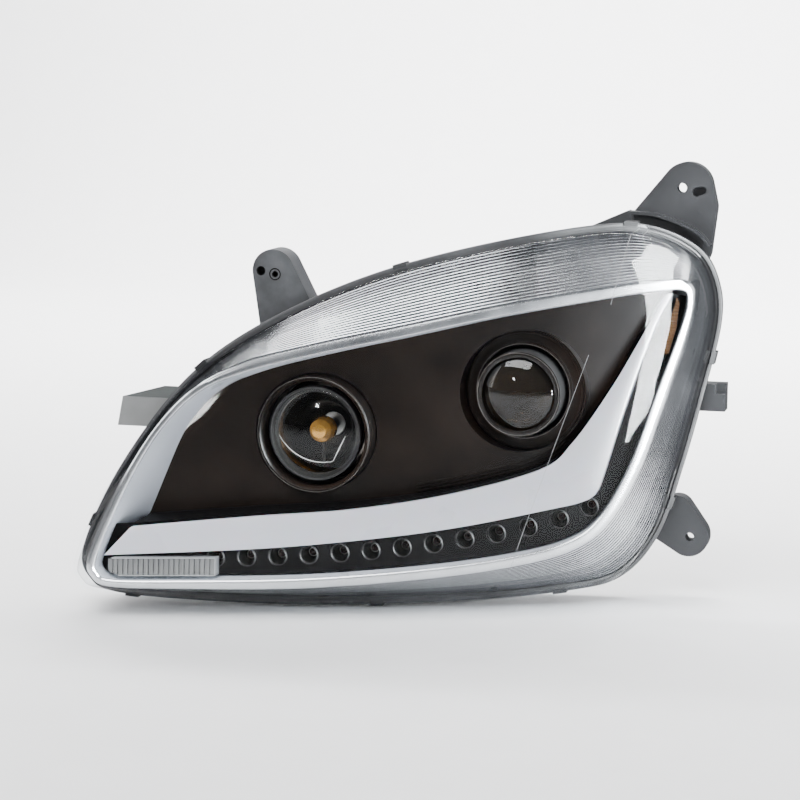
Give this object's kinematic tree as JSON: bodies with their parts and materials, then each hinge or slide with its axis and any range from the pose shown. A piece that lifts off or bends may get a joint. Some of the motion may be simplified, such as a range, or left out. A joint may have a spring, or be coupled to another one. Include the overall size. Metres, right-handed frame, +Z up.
{
  "type": "car headlight assembly",
  "caption": "Swept wrap-around truck headlight with clear lens, silver frame, black inner bezel, L-shaped light bar, projector low beam and high beam.",
  "frame": {"origin": "on the rear seating face of the upper outboard ear, between its bolt hole and its pilot hole", "axes": "+X outboard, away from the vehicle; -Y forward along the beam; +Z up"},
  "size_m": [0.61, 0.3394, 0.4397],
  "materials": {
    "housing": "moulded dark grey polypropylene, fine grain",
    "lens": "clear hard-coated polycarbonate",
    "seal": "butyl sealing bead",
    "clip": "black-coated spring steel",
    "silver_bezel": "satin aluminised plastic with fine ribs",
    "black_bezel": "brownish black satin",
    "light_guide": "milky white light guide",
    "circuit_board": "white solder mask",
    "amber_reflector": "amber prismatic",
    "clear_reflector": "clear prismatic",
    "steel": "zinc plated",
    "nylon": "natural nylon",
    "inner_frame": "glass-filled plastic",
    "optic_glass": "polished optical glass",
    "bulb_glass": "quartz glass",
    "chrome": "bright aluminised",
    "rubber_cap": "soft black rubber",
    "connector": "black sealed connector",
    "heatsink": "die-cast"
  },
  "bodies": {
    "lamp_body": {"housing": "housing", "low_cap_collar": "housing", "high_cap_collar": "housing", "upper_inboard_ear": "housing", "upper_outboard_ear": "housing", "lower_outboard_ear": "housing", "lens_seal": "seal", "outer_lens": "lens", "lens_clip_1": "clip", "lens_clip_2": "clip", "lens_clip_3": "clip", "lens_clip_4": "clip", "lens_clip_5": "clip", "lens_clip_6": "clip", "lens_clip_7": "clip", "lens_clip_8": "clip", "lens_clip_9": "clip", "outer_bezel": "silver_bezel", "inner_bezel": "black_bezel", "drl_carrier": "black_bezel", "light_guide": "light_guide", "drl_led_board": "circuit_board", "turn_cup_strip": "black_bezel", "turn_led_board": "circuit_board", "side_reflector": "amber_reflector", "front_reflex_reflector": "clear_reflector", "low_shroud_ring": "black_bezel", "high_shroud_ring": "black_bezel", "pivot_ball_stud": "steel", "pivot_nut": "steel", "connector_inlet": "connector", "led_driver": "heatsink", "led_driver_screw_1": "steel", "led_driver_screw_2": "steel", "breather_vent_1": "rubber_cap", "breather_vent_2": "rubber_cap"},
    "yaw_pivot": {"pivot_socket": "nylon"},
    "optic_frame": {"aim_frame": "inner_frame", "vertical_socket": "nylon", "horizontal_socket": "nylon", "low_projector_lens": "optic_glass", "low_lens_retainer": "black_bezel", "low_lens_holder": "inner_frame", "low_cutoff_shield": "steel", "low_reflector": "chrome", "high_lens": "optic_glass", "high_lens_holder": "inner_frame", "high_reflector": "chrome", "high_bulb": "bulb_glass", "high_bulb_cap": "chrome", "high_bulb_base": "steel"},
    "low_bulb_unit": {"low_bulb": "bulb_glass", "low_bulb_base": "nylon"},
    "high_bail": {"high_bulb_bail": "steel"},
    "vertical_adjuster": {"vertical_knob": "nylon"},
    "vertical_rod": {"vertical_screw": "steel"},
    "horizontal_adjuster": {"horizontal_knob": "nylon"},
    "horizontal_rod": {"horizontal_screw": "steel"},
    "low_cover": {"low_dust_cap": "rubber_cap"},
    "high_cover": {"high_dust_cap": "rubber_cap"}
  },
  "joints": [
    {"name": "aim_yaw", "type": "hinge", "parent": "lamp_body", "child": "yaw_pivot", "pos_m": [-0.2445, -0.109, -0.275], "axis": [0, 0, 1], "range_deg": [-2.1, 2.1]},
    {"name": "aim_tilt", "type": "hinge", "parent": "yaw_pivot", "child": "optic_frame", "pos_m": [-0.2445, -0.109, -0.275], "axis": [1, 0, 0], "range_deg": [-2.1, 2.1]},
    {"name": "vertical_knob_turn", "type": "hinge", "parent": "lamp_body", "child": "vertical_adjuster", "pos_m": [-0.2445, -0.064, -0.11], "axis": [0, 1, 0], "range_deg": [-690, 690]},
    {"name": "vertical_screw_travel", "type": "slide", "parent": "lamp_body", "child": "vertical_rod", "axis": [0, 1, 0], "range_m": [-0.006, 0.006]},
    {"name": "horizontal_knob_turn", "type": "hinge", "parent": "lamp_body", "child": "horizontal_adjuster", "pos_m": [-0.0795, -0.029, -0.275], "axis": [0, 1, 0], "range_deg": [-690, 690]},
    {"name": "horizontal_screw_travel", "type": "slide", "parent": "lamp_body", "child": "horizontal_rod", "axis": [0, 1, 0], "range_m": [-0.006, 0.006]},
    {"name": "low_cap_pull", "type": "slide", "parent": "lamp_body", "child": "low_cover", "axis": [0, 1, 0], "range_m": [0, 0.06]},
    {"name": "high_cap_pull", "type": "slide", "parent": "lamp_body", "child": "high_cover", "axis": [0, 1, 0], "range_m": [0, 0.06]},
    {"name": "low_bulb_turn", "type": "hinge", "parent": "optic_frame", "child": "low_bulb_unit", "pos_m": [-0.144, -0.04, -0.1945], "axis": [0, 1, 0], "range_deg": [0, 45]},
    {"name": "high_bail_swing", "type": "hinge", "parent": "optic_frame", "child": "high_bail", "pos_m": [-0.3445, -0.1194, -0.23], "axis": [1, 0, 0], "range_deg": [0, 100]}
  ],
  "couplings": [
    {"joint": "vertical_screw_travel", "follows": "vertical_knob_turn", "m_per_rad": 0.00047746},
    {"joint": "aim_tilt", "follows": "vertical_knob_turn", "ratio": -0.0028937},
    {"joint": "horizontal_screw_travel", "follows": "horizontal_knob_turn", "m_per_rad": 0.00047746},
    {"joint": "aim_yaw", "follows": "horizontal_knob_turn", "ratio": 0.0028937}
  ]
}
